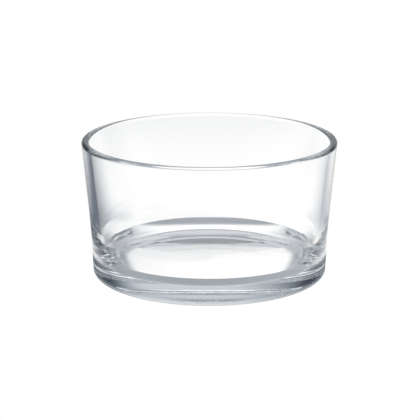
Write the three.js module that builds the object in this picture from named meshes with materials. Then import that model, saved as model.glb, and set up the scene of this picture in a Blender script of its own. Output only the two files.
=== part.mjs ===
// A pressed clear glass bowl: one solid piece of glass, turned about the Z axis.
// Millimetres, +Z up. The origin is the centre of the circle that the foot stands on.

import * as THREE from 'three';

// Driving dimensions of the outside
const rimDiameter = 120;
const bowlHeight = 65;
const footDiameter = 110.5;
const heelRadius = 3.1;
const shoulderHeight = 20;
const shoulderDiameter = 111.8;
const shoulderRadius = 330;

// Driving dimensions of the rim, and of the inside wall. The wall's inner face leans a little
// less above its soft bend than below it: wallAtBend is how wide the wall is there, and
// wallAtFoot is how far the lower end of the face lies inside the foot's outer diameter.
const rimWall = 3.6;
const rimRound = 1.7;
const wallBendHeight = 26.5;
const wallAtBend = 4.6;
const wallBendRadius = 80;
const wallAtFoot = 5.75;

// Driving dimensions of the bevel between the wall and the floor. It has two slopes,
// the upper one steep and the lower one flat, with a soft bend between them.
const upperBevelWidth = 3.2;
const upperBevelHeight = 5.3;
const lowerBevelWidth = 4.7;
const lowerBevelHeight = 1.5;
const bevelTopRadius = 0.65;
const bevelBendRadius = 6.4;
const floorEdgeRadius = 0.4;

// Driving dimensions of the base: a flat ring that the bowl stands on, round a domed push-up
const baseThickness = 2.6;
const bearingRingWidth = 3.2;
const pushUpDepth = 3.45;

// The greatest share of a straight stretch that one rounded corner may take up
const tangentShare = 0.6;

// How finely the round stretches are divided
const facetsRound = 96;
const degreesPerFacet = 12;
const pushUpSteps = 12;

// Places that follow from the driving dimensions
const rimOuter = rimDiameter / 2;
const rimInner = rimOuter - rimWall;
const footOuter = footDiameter / 2;
const ringOuter = footOuter - heelRadius;
const ringInner = ringOuter - bearingRingWidth;
const wallLean = (rimOuter - shoulderDiameter / 2) / (bowlHeight - shoulderHeight);
const outerAtBend = shoulderDiameter / 2 + wallLean * (wallBendHeight - shoulderHeight);
const wallBend = outerAtBend - wallAtBend;
const bevelTop = footOuter - wallAtFoot;
const bevelBend = bevelTop - upperBevelWidth;
const floorEdge = bevelBend - lowerBevelWidth;
const floorHeight = pushUpDepth + baseThickness;
const bevelBendHeight = floorHeight + lowerBevelHeight;
const bevelTopHeight = bevelBendHeight + upperBevelHeight;

// The rest of the half section as sharp corners, from the ring round the outside to the
// axis inside the bowl. Each corner's third value is the radius that rounds it.
const corners = [
  [ringInner, 0, 0],
  [footOuter, 0, heelRadius],
  [shoulderDiameter / 2, shoulderHeight, shoulderRadius],
  [rimOuter, bowlHeight, rimRound],
  [rimInner, bowlHeight, rimRound],
  [wallBend, wallBendHeight, wallBendRadius],
  [bevelTop, bevelTopHeight, bevelTopRadius],
  [bevelBend, bevelBendHeight, bevelBendRadius],
  [floorEdge, floorHeight, floorEdgeRadius],
  [0, floorHeight, 0],
];

// The push-up is part of a sphere: points from the axis out to the ring, without the ring's own
function pushUpDome() {
  const sphereRadius = (ringInner ** 2 + pushUpDepth ** 2) / (2 * pushUpDepth);
  const halfAngle = Math.asin(ringInner / sphereRadius);
  const points = [];
  for (let i = 0; i < pushUpSteps; i += 1) {
    const angle = (halfAngle * i) / pushUpSteps;
    const x = sphereRadius * Math.sin(angle);
    const y = pushUpDepth - sphereRadius * (1 - Math.cos(angle));
    points.push(new THREE.Vector2(x, y));
  }
  return points;
}

// Points of the arc that rounds a corner: it leaves the line from the corner before
// and joins the line to the corner after, tangent to both. The shorter line has to
// leave room for the next corner's arc, and limits the radius where it is too wide.
function roundedCorner(before, corner, after, widestRadius) {
  const toBefore = before.clone().sub(corner).normalize();
  const toAfter = after.clone().sub(corner).normalize();
  const between = toBefore.angleTo(toAfter);
  const shorterLine = Math.min(before.distanceTo(corner), after.distanceTo(corner));
  const roomForRadius = tangentShare * shorterLine * Math.tan(between / 2);
  const radius = Math.min(widestRadius, roomForRadius);
  const tangentLength = radius / Math.tan(between / 2);
  const start = corner.clone().addScaledVector(toBefore, tangentLength);
  const end = corner.clone().addScaledVector(toAfter, tangentLength);
  const toCentre = toBefore.clone().add(toAfter).normalize();
  const centre = corner.clone().addScaledVector(toCentre, radius / Math.sin(between / 2));
  const startAngle = Math.atan2(start.y - centre.y, start.x - centre.x);
  const endAngle = Math.atan2(end.y - centre.y, end.x - centre.x);
  const turn = Math.atan2(Math.sin(endAngle - startAngle), Math.cos(endAngle - startAngle));
  const facets = Math.ceil(Math.abs(THREE.MathUtils.radToDeg(turn)) / degreesPerFacet) + 1;
  const points = [];
  for (let i = 0; i <= facets; i += 1) {
    const angle = startAngle + (turn * i) / facets;
    const x = centre.x + radius * Math.cos(angle);
    const y = centre.y + radius * Math.sin(angle);
    points.push(new THREE.Vector2(x, y));
  }
  return points;
}

// The half section as the lathe needs it: radius across, height up
function halfSection() {
  const sharp = corners.map(([radius, height]) => new THREE.Vector2(radius, height));
  const points = pushUpDome();
  corners.forEach(([, , rounding], i) => {
    if (rounding === 0) {
      points.push(sharp[i]);
    } else {
      points.push(...roundedCorner(sharp[i - 1], sharp[i], sharp[i + 1], rounding));
    }
  });
  return points;
}

// Clear, faintly cool soda-lime glass
const clearGlass = new THREE.MeshStandardMaterial({
  color: 0xe6edf2,
  roughness: 0.03,
  metalness: 0,
  transparent: true,
  opacity: 0.35,
});

// The lathe turns its section about Y, so the bowl is tipped upright onto Z
function makeGlassBowl() {
  const geometry = new THREE.LatheGeometry(halfSection(), facetsRound);
  geometry.rotateX(Math.PI / 2);
  const mesh = new THREE.Mesh(geometry, clearGlass);
  mesh.name = 'glass_bowl';
  return mesh;
}

const bowl = new THREE.Group();
bowl.add(makeGlassBowl());

export default bowl;
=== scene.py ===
import math

import bpy
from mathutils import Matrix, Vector


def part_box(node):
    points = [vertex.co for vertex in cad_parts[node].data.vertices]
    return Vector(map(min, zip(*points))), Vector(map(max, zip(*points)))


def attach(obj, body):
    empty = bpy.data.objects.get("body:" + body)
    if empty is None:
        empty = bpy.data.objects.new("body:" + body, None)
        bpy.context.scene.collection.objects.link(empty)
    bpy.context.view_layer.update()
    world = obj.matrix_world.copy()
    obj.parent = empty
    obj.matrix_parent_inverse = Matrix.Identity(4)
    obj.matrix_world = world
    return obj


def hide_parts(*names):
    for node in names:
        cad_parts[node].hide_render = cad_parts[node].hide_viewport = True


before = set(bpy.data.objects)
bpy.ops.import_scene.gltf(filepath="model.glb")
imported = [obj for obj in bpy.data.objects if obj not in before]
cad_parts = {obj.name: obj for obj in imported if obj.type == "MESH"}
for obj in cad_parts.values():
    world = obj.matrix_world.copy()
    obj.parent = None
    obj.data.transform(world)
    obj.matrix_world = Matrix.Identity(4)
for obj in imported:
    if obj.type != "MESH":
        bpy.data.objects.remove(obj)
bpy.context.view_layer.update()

# The bowl is a single piece of clear soda-lime glass, pressed between a mould and a plunger.
# The mould forms the outside and the foot, the plunger forms the inside, and the rim is
# polished round by a flame afterwards. It is made here as one half section turned about Z.
MILLIMETRE = 0.001
node_low, node_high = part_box("glass_bowl")
bowl_height = node_high.z - node_low.z

# Outside: a foot that is nearly upright, a shoulder, and a wall that leans out to the rim
rim_radius = 60 * MILLIMETRE
foot_radius = 55.25 * MILLIMETRE
heel_round = 3.07 * MILLIMETRE
shoulder_height = 20 * MILLIMETRE
shoulder_radius = 55.9 * MILLIMETRE
shoulder_round = 330 * MILLIMETRE

# Inside: a wall with a soft bend, a bevel of two slopes at its foot, and a flat floor
rim_wall = 3.6 * MILLIMETRE
rim_round = 1.7 * MILLIMETRE
wall_bend_height = 20.7 * MILLIMETRE
wall_at_bend = 4.07 * MILLIMETRE
wall_bend_round = 73.1 * MILLIMETRE
bevel_top_radius = 50.18 * MILLIMETRE
upper_bevel_width = 3.12 * MILLIMETRE
upper_bevel_height = 2.65 * MILLIMETRE
lower_bevel_width = 2.46 * MILLIMETRE
lower_bevel_height = 2.17 * MILLIMETRE
bevel_top_round = 0.4 * MILLIMETRE
bevel_bend_round = 4.03 * MILLIMETRE
floor_height = 7.8 * MILLIMETRE
floor_edge_round = 0.61 * MILLIMETRE

# Underside: a flat ring that the bowl stands on, round a domed push-up
ring_width = 3.63 * MILLIMETRE
ring_edge_round = 1 * MILLIMETRE
push_up_depth = 2.29 * MILLIMETRE

# The glass: how strongly it bends light, and the trace of colour that it takes with thickness
white = (1, 1, 1, 1)
glass_index = 1.52
depth_colour = (0.86, 0.95, 0.98, 1)
depth_density = 3

# Its skin: streaks drawn upwards by the plunger, and small marks where the mould chilled it
draw_stretch = 0.1
streak_width = 3.0 * MILLIMETRE
streak_depth = 0.005 * MILLIMETRE
streak_detail = 3
chill_mark_width = 1.3 * MILLIMETRE
chill_mark_depth = 0.0004 * MILLIMETRE
chill_mark_detail = 2

# How finely the section and the turn are divided
degrees_per_step = 4.0
fewest_steps = 2
push_up_steps = 40
steps_round = 480
longest_step = 1.5 * MILLIMETRE
edge_step = 0.08 * MILLIMETRE


def rounded_corner(before, corner, after, radius):
    """The arc of that radius which joins the two straight runs that meet at the corner."""
    to_before = (before - corner).normalized()
    to_after = (after - corner).normalized()
    opening = to_before.angle(to_after)
    centre = corner + (to_before + to_after).normalized() * radius / math.sin(opening / 2)
    start = corner + to_before * radius / math.tan(opening / 2)
    spoke = start - centre
    sweep = spoke.angle_signed(corner + to_after * radius / math.tan(opening / 2) - centre)
    steps = max(fewest_steps, math.ceil(abs(math.degrees(sweep)) / degrees_per_step))
    arc = []
    for step in range(steps + 1):
        turn = -sweep * step / steps
        arc.append(centre + Vector((spoke.x * math.cos(turn) - spoke.y * math.sin(turn),
                                    spoke.x * math.sin(turn) + spoke.y * math.cos(turn))))
    return arc


def push_up_arc(edge):
    """The underside dome, from the axis out to the ring, as part of a sphere."""
    sphere = (edge ** 2 + push_up_depth ** 2) / (2 * push_up_depth)
    half_angle = math.asin(edge / sphere)
    arc = []
    for step in range(push_up_steps):
        angle = half_angle * step / push_up_steps
        arc.append(Vector((sphere * math.sin(angle),
                           sphere * math.cos(angle) - sphere + push_up_depth)))
    return arc


def bowl_section():
    """The half section from the middle of the underside, round the outside, to the inner floor."""
    ring_inner = foot_radius - heel_round - ring_width
    bevel_bend_radius = bevel_top_radius - upper_bevel_width
    bevel_bend_height = floor_height + lower_bevel_height
    floor_radius = bevel_bend_radius - lower_bevel_width
    bend_share = (wall_bend_height - shoulder_height) / (bowl_height - shoulder_height)
    wall_bend_radius = shoulder_radius + (rim_radius - shoulder_radius) * bend_share - wall_at_bend
    dome = push_up_arc(ring_inner)
    corners = [
        (dome[-1], 0),
        (Vector((ring_inner, 0)), ring_edge_round),
        (Vector((foot_radius, 0)), heel_round),
        (Vector((shoulder_radius, shoulder_height)), shoulder_round),
        (Vector((rim_radius, bowl_height)), rim_round),
        (Vector((rim_radius - rim_wall, bowl_height)), rim_round),
        (Vector((wall_bend_radius, wall_bend_height)), wall_bend_round),
        (Vector((bevel_top_radius, bevel_bend_height + upper_bevel_height)), bevel_top_round),
        (Vector((bevel_bend_radius, bevel_bend_height)), bevel_bend_round),
        (Vector((floor_radius, floor_height)), floor_edge_round),
        (Vector((0, floor_height)), 0),
    ]
    section = dome
    for (before, _), (corner, radius), (after, _) in zip(corners, corners[1:], corners[2:]):
        section += rounded_corner(before, corner, after, radius)
    section.append(Vector((0, floor_height)))
    fine = [section[0]]
    for point in section[1:]:
        last = fine[-1]
        length = (point - last).length
        if length > longest_step:
            # A short step at each end keeps the long faces flat right up to the roundings
            along = (point - last) / length
            begin = last + along * edge_step
            end = point - along * edge_step
            parts = math.ceil(length / longest_step)
            fine += [begin.lerp(end, part / parts) for part in range(parts + 1)]
        fine.append(point)
    return fine


def turned_mesh(name, section):
    """A closed mesh of the section turned about Z. Its first and last points are on the axis."""
    vertices = [(0, 0, section[0].y)]
    for point in section[1:-1]:
        for step in range(steps_round):
            angle = 2 * math.pi * step / steps_round
            vertices.append((point.x * math.cos(angle), point.x * math.sin(angle), point.y))
    vertices.append((0, 0, section[-1].y))
    rings = len(section) - 2
    last = len(vertices) - 1
    faces = []
    for step in range(steps_round):
        following = (step + 1) % steps_round
        faces.append((0, 1 + following, 1 + step))
        for ring in range(rings - 1):
            low = 1 + ring * steps_round
            high = low + steps_round
            faces.append((low + step, low + following, high + following, high + step))
        top = 1 + (rings - 1) * steps_round
        faces.append((top + step, top + following, last))
    mesh = bpy.data.meshes.new(name)
    mesh.from_pydata(vertices, [], faces)
    mesh.shade_smooth()
    return mesh


def clear_glass():
    """Clear glass, a trace cooler in its thickness, with the uneven skin of pressed glass."""
    material = bpy.data.materials.new("clear_glass")
    material.use_nodes = True
    nodes = material.node_tree.nodes
    links = material.node_tree.links
    surface = nodes["Principled BSDF"]
    surface.inputs["Base Color"].default_value = white
    surface.inputs["Transmission Weight"].default_value = 1
    surface.inputs["Roughness"].default_value = 0
    surface.inputs["IOR"].default_value = glass_index
    depth = nodes.new("ShaderNodeVolumeAbsorption")
    depth.inputs["Color"].default_value = depth_colour
    depth.inputs["Density"].default_value = depth_density
    links.new(depth.outputs["Volume"], nodes["Material Output"].inputs["Volume"])
    place = nodes.new("ShaderNodeTexCoord")
    drawn = nodes.new("ShaderNodeMapping")
    drawn.inputs["Scale"].default_value = (1, 1, draw_stretch)
    links.new(place.outputs["Object"], drawn.inputs["Vector"])
    streaks = nodes.new("ShaderNodeTexNoise")
    streaks.inputs["Scale"].default_value = 1 / streak_width
    streaks.inputs["Detail"].default_value = streak_detail
    links.new(drawn.outputs["Vector"], streaks.inputs["Vector"])
    chill = nodes.new("ShaderNodeTexNoise")
    chill.inputs["Scale"].default_value = 1 / chill_mark_width
    chill.inputs["Detail"].default_value = chill_mark_detail
    links.new(place.outputs["Object"], chill.inputs["Vector"])
    streak_skin = nodes.new("ShaderNodeBump")
    streak_skin.inputs["Distance"].default_value = streak_depth
    links.new(streaks.outputs["Fac"], streak_skin.inputs["Height"])
    chill_skin = nodes.new("ShaderNodeBump")
    chill_skin.inputs["Distance"].default_value = chill_mark_depth
    links.new(chill.outputs["Fac"], chill_skin.inputs["Height"])
    links.new(streak_skin.outputs["Normal"], chill_skin.inputs["Normal"])
    links.new(chill_skin.outputs["Normal"], surface.inputs["Normal"])
    return material


bowl_mesh = turned_mesh("pressed_bowl", bowl_section())
bowl_mesh.materials.append(clear_glass())
bowl = bpy.data.objects.new("pressed_bowl", bowl_mesh)
bpy.context.scene.collection.objects.link(bowl)
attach(bowl, "root")
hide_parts("glass_bowl")

# The camera stands where the photograph was taken from: in front, looking slightly down
# through a long lens. The frame is the photograph's square.
frame_pixels = 420
sensor_width = 36
focal_pixels = 1552.4
axis_column = 209.39
camera_distance = 710.2 * MILLIMETRE
camera_height = 224.2 * MILLIMETRE
camera_pitch = math.radians(15.295)
camera_data = bpy.data.cameras.new("photograph_camera")
camera_data.sensor_width = sensor_width
camera_data.lens = sensor_width * focal_pixels / frame_pixels
camera = bpy.data.objects.new("photograph_camera", camera_data)
camera.location = (0, -camera_distance, camera_height)
sideways = math.atan((frame_pixels / 2 - axis_column) / focal_pixels)
camera.rotation_euler = (math.pi / 2 - camera_pitch, 0, -sideways)
bpy.context.scene.collection.objects.link(camera)
bpy.context.scene.camera = camera

# The studio is a dim room. Soft panels and dark cards stand round the table and show only in the
# glass, because the camera sees the room itself as plain white. A place is given as its azimuth
# in degrees, where 90 is straight behind the bowl, and its elevation above the table.
red_power = 1.08
blue_power = 0.9
room_low = 0.22
room_high = 0.57
half_turn = 180


def number_node(tree, operation, first, second=0.0, third=0.0):
    """A Math node. Each input is a number or another node's output."""
    node = tree.nodes.new("ShaderNodeMath")
    node.operation = operation
    for socket, value in zip(node.inputs, (first, second, third)):
        if isinstance(value, bpy.types.NodeSocket):
            tree.links.new(value, socket)
        else:
            socket.default_value = value
    return node.outputs["Value"]


def soft_step(tree, value, start, edge, low=0.0, high=1.0):
    """Goes smoothly from low at the start to high one edge width further on."""
    node = tree.nodes.new("ShaderNodeMapRange")
    node.interpolation_type = "SMOOTHSTEP"
    tree.links.new(value, node.inputs["Value"])
    node.inputs["From Min"].default_value = start
    node.inputs["From Max"].default_value = start + edge
    node.inputs["To Min"].default_value = low
    node.inputs["To Max"].default_value = high
    return node.outputs["Result"]


def up_to(tree, value, end, edge):
    """One up to the end, and nothing beyond its soft edge."""
    return soft_step(tree, value, end, edge, low=1.0, high=0.0)


def within(tree, value, middle, half_width, edge):
    """One within the half width of the middle, and nothing beyond its soft edges."""
    away = number_node(tree, "ABSOLUTE", number_node(tree, "SUBTRACT", value, middle))
    return up_to(tree, away, half_width, edge)


def sector(tree, azimuth, middle, half_width, edge):
    """One within the sector round the middle azimuth, and nothing beyond its soft edges."""
    off = number_node(tree, "SUBTRACT", azimuth, middle)
    away = number_node(tree, "WRAP", off, half_turn, -half_turn)
    return within(tree, away, 0, half_width, edge)


def with_panel(tree, light, brightness, *windows):
    """The light with a panel's brightness added where all the windows are open."""
    for window in windows:
        brightness = number_node(tree, "MULTIPLY", window, brightness)
    return number_node(tree, "ADD", light, brightness)


def with_share_taken(tree, light, share, *windows):
    """The light with that share of it taken away where all the windows are open. In the room this
    is a dark card; on the table it is painted shade, and painted light where the share is below
    zero.
    """
    for window in windows:
        share = number_node(tree, "MULTIPLY", window, share)
    return number_node(tree, "MULTIPLY", light, number_node(tree, "SUBTRACT", 1.0, share))


def seen_in_glass(tree, light):
    """A faintly blue tone of the light, the more so the dimmer it is, and white to the camera."""
    light = number_node(tree, "MAXIMUM", light, 0.0)
    tone = tree.nodes.new("ShaderNodeCombineColor")
    tree.links.new(number_node(tree, "POWER", light, red_power), tone.inputs["Red"])
    tree.links.new(light, tone.inputs["Green"])
    tree.links.new(number_node(tree, "POWER", light, blue_power), tone.inputs["Blue"])
    path = tree.nodes.new("ShaderNodeLightPath")
    seen = tree.nodes.new("ShaderNodeMix")
    seen.data_type = "RGBA"
    tree.links.new(path.outputs["Is Camera Ray"], seen.inputs["Factor"])
    tree.links.new(tone.outputs["Color"], seen.inputs["A"])
    seen.inputs["B"].default_value = white
    return seen.outputs["Result"]


world = bpy.data.worlds.new("studio_room")
bpy.context.scene.world = world
world.use_nodes = True
room = world.node_tree
coordinates = room.nodes.new("ShaderNodeTexCoord")
direction = room.nodes.new("ShaderNodeSeparateXYZ")
room.links.new(coordinates.outputs["Generated"], direction.inputs["Vector"])
east, north, up = direction.outputs
azimuth = number_node(room, "DEGREES", number_node(room, "ARCTAN2", north, east))
elevation = number_node(room, "DEGREES", number_node(room, "ARCSINE", up))
light = soft_step(room, elevation, start=5, edge=40, low=room_low, high=room_high)

# Backdrop behind the bowl, with a faint high panel over it
backdrop_brightness = 0.35
light = with_panel(room, light, backdrop_brightness,
                   sector(room, azimuth, middle=82, half_width=11.7, edge=24),
                   up_to(room, elevation, end=12.3, edge=21))
high_panel_brightness = 0.08
light = with_panel(room, light, high_panel_brightness,
                   sector(room, azimuth, middle=94, half_width=43, edge=19.2),
                   within(room, elevation, middle=59, half_width=4.8, edge=5.3))

# Low panels on the camera's side, left and right
left_panel_brightness = 0.32
light = with_panel(room, light, left_panel_brightness,
                   sector(room, azimuth, middle=206, half_width=22, edge=20),
                   up_to(room, elevation, end=17, edge=11.1))
right_panel_brightness = 0.09
light = with_panel(room, light, right_panel_brightness,
                   sector(room, azimuth, middle=324, half_width=13.4, edge=16.2),
                   up_to(room, elevation, end=15.5, edge=12.4))

# Dark patch overhead: light taken away round one direction
patch_azimuth = math.radians(96)
patch_elevation = math.radians(79)
patch_darkness = 0.5
overhead = Vector((math.cos(patch_elevation) * math.cos(patch_azimuth),
                   math.cos(patch_elevation) * math.sin(patch_azimuth),
                   math.sin(patch_elevation)))
towards = room.nodes.new("ShaderNodeVectorMath")
towards.operation = "DOT_PRODUCT"
room.links.new(coordinates.outputs["Generated"], towards.inputs[0])
towards.inputs[1].default_value = overhead
off_patch = number_node(room, "ARCCOSINE", towards.outputs["Value"])
off_patch = number_node(room, "DEGREES", off_patch)
light = with_panel(room, light, -patch_darkness, up_to(room, off_patch, end=15, edge=15.9))

# Dark cards: on the right, behind on the left, and the dark room round the camera
right_card_share = 0.84
light = with_share_taken(room, light, right_card_share,
                  sector(room, azimuth, middle=10, half_width=32, edge=26),
                  up_to(room, elevation, end=20, edge=23))
left_card_share = 0.86
light = with_share_taken(room, light, left_card_share,
                  sector(room, azimuth, middle=140, half_width=7, edge=24),
                  up_to(room, elevation, end=24, edge=5.4))
camera_side_share = 0.8
light = with_share_taken(room, light, camera_side_share,
                  sector(room, azimuth, middle=270, half_width=67, edge=7.2),
                  soft_step(room, elevation, start=-1.2, edge=19.9),
                  up_to(room, elevation, end=36, edge=6.2))
room.links.new(seen_in_glass(room, light), room.nodes["Background"].inputs["Color"])

# The table is a wide sheet of white paper that gives off its own light. The camera sees it as
# plain white. The glass sees the light and shade that are painted on it in place of real shadows
# and real light, by the distance from the bowl's axis in millimetres and by azimuth.
table_half = 6.0
table_drop = 0.05 * MILLIMETRE
table_mesh = bpy.data.meshes.new("table")
table_mesh.from_pydata([(-table_half, -table_half, 0), (table_half, -table_half, 0),
                        (table_half, table_half, 0), (-table_half, table_half, 0)],
                       [], [(0, 1, 2, 3)])
table = bpy.data.objects.new("table", table_mesh)
table.location.z = -table_drop
bpy.context.scene.collection.objects.link(table)
paper = bpy.data.materials.new("paper_with_painted_light_and_shade")
paper.use_nodes = True
sheet = paper.node_tree
sheet.nodes.remove(sheet.nodes["Principled BSDF"])
painted_light_glow = sheet.nodes.new("ShaderNodeEmission")
sheet.links.new(painted_light_glow.outputs["Emission"], sheet.nodes["Material Output"].inputs["Surface"])
table_mesh.materials.append(paper)
place = sheet.nodes.new("ShaderNodeNewGeometry")
across = sheet.nodes.new("ShaderNodeSeparateXYZ")
sheet.links.new(place.outputs["Position"], across.inputs["Vector"])
distance = sheet.nodes.new("ShaderNodeVectorMath")
distance.operation = "LENGTH"
sheet.links.new(place.outputs["Position"], distance.inputs[0])
radius = number_node(sheet, "DIVIDE", distance.outputs["Value"], MILLIMETRE)
turn = number_node(sheet, "ARCTAN2", across.outputs["Y"], across.outputs["X"])
azimuth = number_node(sheet, "DEGREES", turn)
rightward = number_node(sheet, "COSINE", turn)
backward = number_node(sheet, "SINE", turn)

# Painted light: the open paper is painted dimmer far off, and a little brighter in front and on
# the right
painted_light_near = 1.12
painted_light_far = 0.4
painted_gain_in_front = 0.08
painted_gain_on_right = 0.06
light = soft_step(sheet, radius, start=160, edge=900, low=painted_light_near, high=painted_light_far)
swing = number_node(sheet, "MULTIPLY", backward, -painted_gain_in_front)
swing = number_node(sheet, "MULTIPLY_ADD", rightward, painted_gain_on_right, swing)
light = number_node(sheet, "MULTIPLY", light, number_node(sheet, "ADD", swing, 1.0))

# Painted shade: a dark ring under the edge of the push-up, and a painted shadow round the foot,
# deepest at its sides
inner_painted_shade_share = 0.7
light = with_share_taken(sheet, light, inner_painted_shade_share,
                  within(sheet, radius, middle=47.5, half_width=4, edge=5))
side_painted_shade_share = 0.75
sideways = number_node(sheet, "MULTIPLY", rightward, rightward)
light = with_share_taken(sheet, light, side_painted_shade_share,
                  within(sheet, radius, middle=60, half_width=7, edge=7), sideways)

# A thin bright ring just outside the foot, painted light in place of light that the glass would
# gather there
painted_light_ring_radius = 58.8
painted_light_ring_width = 1.8
painted_light_ring_gain = 0.3
off_painted_light_ring = number_node(sheet, "SUBTRACT", radius, painted_light_ring_radius)
off_painted_light_ring = number_node(sheet, "DIVIDE", off_painted_light_ring, painted_light_ring_width)
off_painted_light_ring = number_node(sheet, "MULTIPLY", off_painted_light_ring, off_painted_light_ring)
on_painted_light_ring = number_node(sheet, "EXPONENT", number_node(sheet, "MULTIPLY", off_painted_light_ring, -1.0))
light = with_share_taken(sheet, light, -painted_light_ring_gain, on_painted_light_ring)

# A painted dark ring of shade outside it, a trace deeper on the right
outer_painted_shade_share = 0.68
painted_shade_right_trace = 0.03
outer_painted_shade_side = number_node(sheet, "MULTIPLY_ADD", rightward, painted_shade_right_trace, 1 - painted_shade_right_trace)
light = with_share_taken(sheet, light, outer_painted_shade_share,
                  within(sheet, radius, middle=62.9, half_width=1.4, edge=2.2), outer_painted_shade_side)

# Dark sectors of painted shade behind on the left and on the right, that darken the sides of the
# wall
left_painted_shade_share = 0.83
light = with_share_taken(sheet, light, left_painted_shade_share,
                  sector(sheet, azimuth, middle=152, half_width=8.7, edge=30),
                  soft_step(sheet, radius, start=80, edge=15),
                  up_to(sheet, radius, end=262, edge=262))
right_painted_shade_share = 0.51
light = with_share_taken(sheet, light, right_painted_shade_share,
                  sector(sheet, azimuth, middle=27, half_width=4.3, edge=30),
                  soft_step(sheet, radius, start=86, edge=15))
sheet.links.new(seen_in_glass(sheet, light), painted_light_glow.inputs["Color"])

# Light finds its way through many faces of the glass, and the white of the paper stays white
glass_bounces = 32
settings = bpy.context.scene.cycles
settings.max_bounces = glass_bounces
settings.transmission_bounces = glass_bounces
settings.glossy_bounces = glass_bounces
settings.transparent_max_bounces = glass_bounces
bpy.context.scene.view_settings.view_transform = "Standard"
